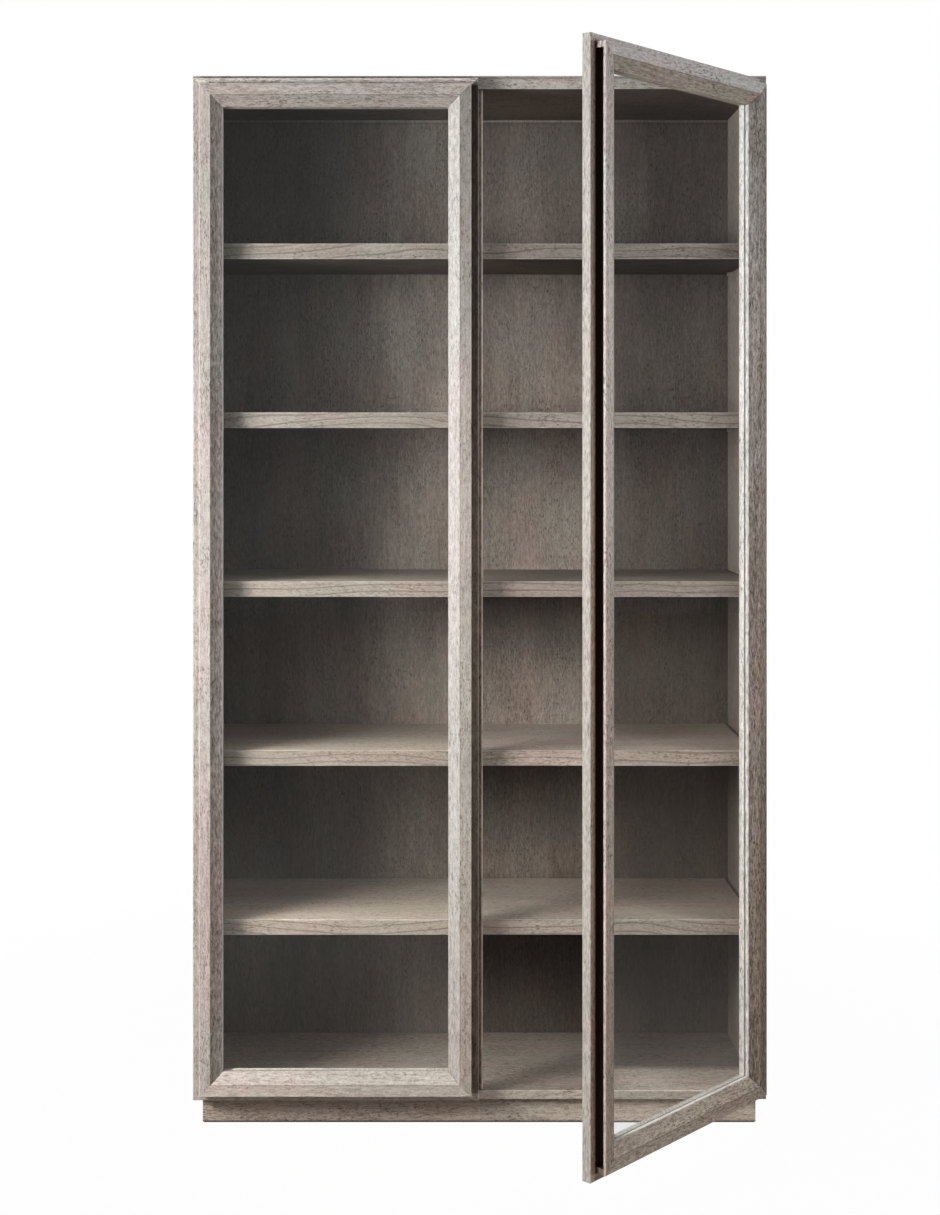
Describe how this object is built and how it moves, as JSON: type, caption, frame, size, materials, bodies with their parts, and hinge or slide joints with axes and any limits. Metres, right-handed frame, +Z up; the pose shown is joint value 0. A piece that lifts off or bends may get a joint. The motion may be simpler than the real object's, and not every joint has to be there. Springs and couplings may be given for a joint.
{
  "type": "bookcase with hinged glass doors",
  "caption": "Tall free-standing oak bookcase on a recessed plinth, with adjustable shelves behind two hinged, framed glass doors; one door stands open.",
  "frame": {"origin": "on the floor under the middle of the case, at the plinth's underside", "axes": "+Z up, the doors face -Y, +X to the right as seen from the front"},
  "size_m": [1.22, 0.8503, 2.235],
  "materials": {
    "oak_board": "weathered grey-brown oak veneer, matt, open grain",
    "oak_moulding": "weathered grey-brown solid oak, brushed and matt",
    "clear_glass": "clear, polished",
    "black_tape": "matt",
    "bumper_rubber": "soft clear",
    "foot_plastic": "moulded",
    "beech": "plain",
    "nickel_steel": "nickel plated",
    "zinc_screws": "zinc plated"
  },
  "bodies": {
    "case": {"back_panel": "oak_board", "back_screws": "zinc_screws", "bottom_panel": "oak_board", "case_dowels": "beech", "left_arm_screws": "zinc_screws", "left_hinge_arms": "nickel_steel", "left_hinge_plates": "nickel_steel", "left_plate_screws": "zinc_screws", "left_side_panel": "oak_board", "levelling_feet": "foot_plastic", "plinth_back": "oak_board", "plinth_blocks": "oak_board", "plinth_front": "oak_board", "plinth_left": "oak_board", "plinth_right": "oak_board", "plinth_screws": "zinc_screws", "plinth_stretcher": "oak_board", "right_arm_screws": "zinc_screws", "right_hinge_arms": "nickel_steel", "right_hinge_plates": "nickel_steel", "right_plate_screws": "zinc_screws", "right_side_panel": "oak_board", "shelf_1": "oak_board", "shelf_2": "oak_board", "shelf_3": "oak_board", "shelf_4": "oak_board", "shelf_5": "oak_board", "shelf_pins": "nickel_steel", "top_panel": "oak_board"},
    "left_door": {"left_bead_brads": "zinc_screws", "left_bottom_rail": "oak_moulding", "left_corner_splines": "beech", "left_cup_screws": "zinc_screws", "left_door_bumpers": "bumper_rubber", "left_glass_beads": "oak_moulding", "left_glass_pane": "clear_glass", "left_glazing_tape": "black_tape", "left_hinge_cups": "nickel_steel", "left_hinge_pins": "nickel_steel", "left_hinge_stile": "oak_moulding", "left_meeting_stile": "oak_moulding", "left_top_rail": "oak_moulding", "lipping": "oak_moulding", "lipping_screws": "zinc_screws"},
    "right_door": {"right_bead_brads": "zinc_screws", "right_bottom_rail": "oak_moulding", "right_corner_splines": "beech", "right_cup_screws": "zinc_screws", "right_door_bumpers": "bumper_rubber", "right_glass_beads": "oak_moulding", "right_glass_pane": "clear_glass", "right_glazing_tape": "black_tape", "right_hinge_cups": "nickel_steel", "right_hinge_pins": "nickel_steel", "right_hinge_stile": "oak_moulding", "right_meeting_stile": "oak_moulding", "right_top_rail": "oak_moulding"}
  },
  "joints": [
    {"name": "left_door_hinge", "type": "hinge", "parent": "case", "child": "left_door", "pos_m": [-0.586, -0.2215, 1.1445], "axis": [0, 0, -1], "range_deg": [0, 90]},
    {"name": "right_door_hinge", "type": "hinge", "parent": "case", "child": "right_door", "pos_m": [0.586, -0.2215, 1.1445], "axis": [0, 0, 1], "range_deg": [-48, 42]}
  ]
}
